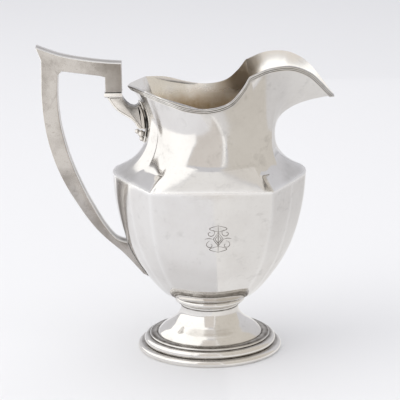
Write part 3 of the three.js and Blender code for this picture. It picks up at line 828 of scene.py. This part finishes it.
def handle():
    """The hollow handle's two stamped halves, parted along the middle seam."""
    halves = ((-1, "handle_near", "handle_shell_near"), (1, "handle_far", "handle_shell_far"))
    for side, name, node_name in halves:
        bm = slab(handle_outline(), HANDLE_HALF_WIDTH, HANDLE_ROUND, segments=5)
        for vert in bm.verts:
            t = clamp01((LEG_END_Z - vert.co.z / MM) / (LEG_END_Z - TAIL_TOP_Z))
            vert.co.y *= 1 - HANDLE_TAPER * t * t * (3 - 2 * t)
        cut = bmesh.ops.bisect_plane(
            bm, geom=bm.verts[:] + bm.edges[:] + bm.faces[:], plane_co=(0, side * HAIR / 2 * MM, 0),
            plane_no=(0, side, 0), clear_inner=True,
        )
        seam = [item for item in cut["geom_cut"] if isinstance(item, bmesh.types.BMEdge)]
        bmesh.ops.holes_fill(bm, edges=seam, sides=0)
        bmesh.ops.recalc_face_normals(bm, faces=bm.faces)
        tarnish_and_shade_layer(bm, handle_wear)
        # Painted highlight along the rounded long edges of the handle
        highlight_layer = bm.verts.layers.float.new("painted_highlight")
        for vert in bm.verts:
            half = HANDLE_HALF_WIDTH * (1 - HANDLE_TAPER * clamp01((LEG_END_Z - vert.co.z / MM) / 120))
            edge = abs(abs(vert.co.y / MM) - half + 0.45 * HANDLE_ROUND) < 0.4 * HANDLE_ROUND
            vert[highlight_layer] = 0.85 if edge else 0.0
        finish_piece(bm, name, [HANDLE_SILVER], [node_name], sharp=35)


def handle_wear(vert):
    z = vert.co.z / MM
    x = vert.co.x / MM - AXIS_X
    foot = math.exp(-(((x + 68) / 5) ** 2)) * math.exp(-(((z - TAIL_TOP_Z) / 4) ** 2))
    band = math.exp(-(((z - 215) / 0.7) ** 2))
    return 0.8 * max(foot, band)


def band():
    (left, right), (low, high) = BAND_X, BAND_Z
    outline = [(left, low), (right, low), (right, high), (left, high)]
    bm = slab(outline, BAND_HALF_WIDTH, 0)
    edges = [edge for edge in bm.edges if abs(edge.verts[0].co.z - edge.verts[1].co.z) < 1e-6]
    bmesh.ops.bevel(
        bm, geom=edges, offset=1.1 * MM, offset_type="OFFSET", affect="EDGES", segments=4,
        profile=0.5, material=-1,
    )
    tarnish_and_shade_layer(bm, lambda vert: 1 - clamp01((1.9 - abs(vert.co.z / MM - 213)) / 0.6))
    finish_piece(bm, "band", [CAST_SILVER], ["handle_band"])


def leaf_edge(offset):
    heights = [mix(LEAF_Z[0], LEAF_Z[1], i / LEAF_STEPS) for i in range(LEAF_STEPS + 1)]
    return [(reach(z, BODY[BOWL_ROWS:], HANDLE_END) - offset, z) for z in heights]


def bracket():
    offset = LEAF_THICKNESS + 4 * HAIR
    wall_side = [p for p in leaf_edge(offset) if 185.5 < p[1] < 204]
    outline = fair(BRACKET_UNDER, 26) + [(wall_side[0][0], 184.9)] + wall_side + fair(BRACKET_THROAT, 16)
    bm = slab(outline, BRACKET_HALF_WIDTH, 0.5, segments=3)
    sides = [face for face in bm.faces if abs(face.normal.y) > 0.99 and len(face.verts) > 8]
    for side in sides:
        bmesh.ops.inset_individual(bm, faces=[side], thickness=0.8 * MM, depth=0)
        bmesh.ops.inset_individual(bm, faces=[side], thickness=0.35 * MM, depth=-0.45 * MM)
    groove = {vert for face in sides for vert in face.verts}
    for side in sides:
        bmesh.ops.inset_individual(bm, faces=[side], thickness=0.5 * MM, depth=0)
    bmesh.ops.recalc_face_normals(bm, faces=bm.faces)
    throat = (-61, 205)

    def tarnish_and_shade(vert):
        x, z = vert.co.x / MM - AXIS_X, vert.co.z / MM
        in_throat = clamp01(1.6 - math.hypot(x - throat[0], z - throat[1]) / 7) if z > 199 else 0
        return 1.0 if vert in groove else 0.85 * in_throat

    tarnish_and_shade_layer(bm, tarnish_and_shade)
    finish_piece(bm, "scroll_bracket", [CAST_SILVER], ["upper_bracket"], sharp=30)


def leaf():
    """The leaf-shaped plate that spreads the bracket's pull over the neck, with a raised rib."""
    rings = []
    steps = 12
    front = leaf_edge(2 * HAIR + LEAF_THICKNESS)
    back = leaf_edge(2 * HAIR)
    for i in range(LEAF_STEPS + 1):
        t = i / LEAF_STEPS
        half = LEAF_HALF_WIDTH * (0.35 + 0.65 * math.sin(math.pi * (0.12 + 0.8 * t)) ** 0.8)
        ring = []
        for j in range(steps + 1):
            y = mix(-half, half, j / steps)
            crown = (1 - (y / half) ** 2) ** 0.5 if abs(y) < half else 0
            x = mix(back[i][0] - 0.25, front[i][0] - 0.1, crown)
            ring.append(place(x, y, front[i][1]))
        rings.append(ring + [place(back[i][0], half, back[i][1]), place(back[i][0], -half, back[i][1])])
    bm = sheet_of(rings, closed=True)
    bmesh.ops.holes_fill(bm, edges=[edge for edge in bm.edges if edge.is_boundary], sides=0)
    bmesh.ops.recalc_face_normals(bm, faces=bm.faces)
    tarnish_and_shade_layer(bm, lambda vert: 1.0 if abs(vert.co.y / MM) > 3.4 else 0)
    finish_piece(bm, "bracket_plate", [CAST_SILVER], ["bracket_leaf"])


def beads():
    for name, (x, z, radius) in BEADS.items():
        bm = bmesh.new()
        bmesh.ops.create_uvsphere(bm, u_segments=28, v_segments=18, radius=radius * MM)
        bmesh.ops.translate(bm, vec=place(x, 0, z), verts=bm.verts)
        # Painted shade: each bead darkens towards its side facing the neck, away from the window lamp
        tarnish_and_shade_layer(bm, lambda vert: clamp01((vert.co.x - place(x, 0, z).x) / (radius * MM)))
        finish_piece(bm, name + "_cast", [CAST_SILVER], [name])


handle()
band()
bracket()
leaf()
beads()


# ---------------------------------------------------------------- stage, light and camera
def plain(name, colour, emission=0.0, rough=0.9):
    material = bpy.data.materials.new(name)
    material.use_nodes = True
    shader = material.node_tree.nodes["Principled BSDF"]
    shader.inputs["Base Color"].default_value = colour
    shader.inputs["Roughness"].default_value = rough
    if emission:
        shader.inputs["Emission Color"].default_value = colour
        shader.inputs["Emission Strength"].default_value = emission
        shader.inputs["Base Color"].default_value = (0, 0, 0, 1)
    return material


def floor():
    bm = bmesh.new()
    bmesh.ops.create_grid(bm, x_segments=1, y_segments=1, size=8)
    mesh = bpy.data.meshes.new("table")
    bm.to_mesh(mesh)
    bm.free()
    mesh.materials.append(plain("table_white", (0.81, 0.812, 0.818, 1)))
    table = bpy.data.objects.new("table", mesh)
    bpy.context.scene.collection.objects.link(table)


def glow(name, bm, colour, strength):
    """Makes a studio card of a bmesh, one that only shows in reflections."""
    mesh = bpy.data.meshes.new(name)
    bm.to_mesh(mesh)
    bm.free()
    mesh.materials.append(plain(name + "_glow", colour, strength))
    made = bpy.data.objects.new(name, mesh)
    bpy.context.scene.collection.objects.link(made)
    made.visible_camera = False
    made.visible_diffuse = False
    made.visible_shadow = False


def screen(name, turn, height, radius, colour, strength=1.0):
    """A curved card standing round the table, between two bearings in degrees, 0 at the camera's side."""
    bm = bmesh.new()
    bmesh.ops.create_grid(bm, x_segments=24, y_segments=1, size=0.5)
    for vert in bm.verts:
        bearing = math.radians(mix(turn[0], turn[1], vert.co.x + 0.5))
        level = mix(height[0], height[1], vert.co.y + 0.5)
        vert.co = (radius * math.sin(bearing), -radius * math.cos(bearing), level)
    glow(name, bm, colour, strength)


def canopy(name, across, depth, height, colour, strength=1.0):
    """A flat card overhead."""
    bm = bmesh.new()
    bmesh.ops.create_grid(bm, x_segments=1, y_segments=1, size=0.5)
    for vert in bm.verts:
        vert.co = (mix(*across, vert.co.x + 0.5), mix(*depth, vert.co.y + 0.5), height)
    glow(name, bm, colour, strength)


def shade_card():
    """The shaded side of the table, as the silver sees it: it deepens towards the right."""
    bm = bmesh.new()
    bmesh.ops.create_grid(bm, x_segments=1, y_segments=1, size=0.5)
    for vert in bm.verts:
        vert.co = (mix(0.03, 1.4, vert.co.x + 0.5), mix(-0.6, 0.9, vert.co.y + 0.5), 0.002)
    glow("shade_card", bm, (0.72, 0.71, 0.71, 1), 1.0)
    tree = bpy.data.materials["shade_card_glow"].node_tree
    coords = node(tree, "ShaderNodeTexCoord", -900, 0).outputs["Object"]
    split = node(tree, "ShaderNodeSeparateXYZ", -700, 0)
    tree.links.new(coords, split.inputs[0])
    fall = node(tree, "ShaderNodeMapRange", -500, 0)
    fall.inputs["From Min"].default_value = 0.03
    fall.inputs["From Max"].default_value = 0.30
    tree.links.new(split.outputs["X"], fall.inputs["Value"])
    tone = blend_colour(tree, fall.outputs["Result"], (0.90, 0.89, 0.885, 1), (0.70, 0.69, 0.695, 1), -250, 0)
    tree.links.new(tone, tree.nodes["Principled BSDF"].inputs["Emission Color"])


def cards():
    """What the silver sees: a white window on the left, warm greys in front and on the right."""
    screen("window_card", (-128, -13), (0.055, 0.6), 0.27, (1, 0.995, 0.985, 1), 1.3)
    screen("front_card", (-13, 15), (0.0, 0.6), 0.40, (0.74, 0.70, 0.665, 1))
    screen("slit_card", (15.6, 17.6), (0.0, 0.6), 0.40, (1, 0.99, 0.97, 1), 1.1)
    screen("right_card", (18.3, 106), (0.0, 1.1), 0.6, (0.68, 0.645, 0.595, 1))
    shade_card()
    canopy("roof_card", (-0.10, 0.28), (-1.05, 5), 2.0, (0.93, 0.92, 0.915, 1))
    canopy("roof_window", (-2.2, -0.12), (-1.3, 1.3), 2.02, (1, 0.995, 0.985, 1), 1.3)
    canopy("roof_right", (0.32, 1.6), (-1.3, 1.3), 2.02, (0.78, 0.75, 0.71, 1))


def lamp(name, location, aim, size, power, colour):
    data = bpy.data.lights.new(name, "AREA")
    data.shape = "RECTANGLE"
    data.size, data.size_y = size
    data.energy = power
    data.color = colour
    made = bpy.data.objects.new(name, data)
    made.location = location
    made.rotation_mode = "QUATERNION"
    made.rotation_quaternion = (Vector(aim) - Vector(location)).to_track_quat("-Z", "Y")
    made.visible_camera = False
    made.visible_glossy = False
    bpy.context.scene.collection.objects.link(made)


def world():
    shade = bpy.data.worlds.new("studio")
    bpy.context.scene.world = shade
    shade.use_nodes = True
    tree = shade.node_tree
    background = tree.nodes["Background"]
    background.inputs["Color"].default_value = (0.69, 0.69, 0.72, 1)
    background.inputs["Strength"].default_value = 1.0


def camera():
    data = bpy.data.cameras.new("camera")
    data.lens = 132.93
    data.sensor_width = 36
    made = bpy.data.objects.new("camera", data)
    bpy.context.scene.collection.objects.link(made)
    made.location = (-0.01356, -1.10962, 0.49677)
    aim = Vector((AXIS_X * MM - 0.00752, 0.00021, 0.12505))
    made.rotation_mode = "QUATERNION"
    roll = Matrix.Rotation(math.radians(-0.254), 3, "Z").to_quaternion()
    made.rotation_quaternion = (aim - made.location).to_track_quat("-Z", "Y") @ roll
    bpy.context.scene.camera = made


floor()
world()
cards()
lamp("window_left", (-1.6, -0.4, 1.3), (0, 0, 0.1), (1.6, 1.6), 15, (1, 0.985, 0.96))
lamp("overhead", (0.0, 0.2, 2.2), (0, 0, 0), (2.5, 2.5), 18, (1, 1, 1))
camera()
bpy.context.scene.view_settings.view_transform = "Standard"
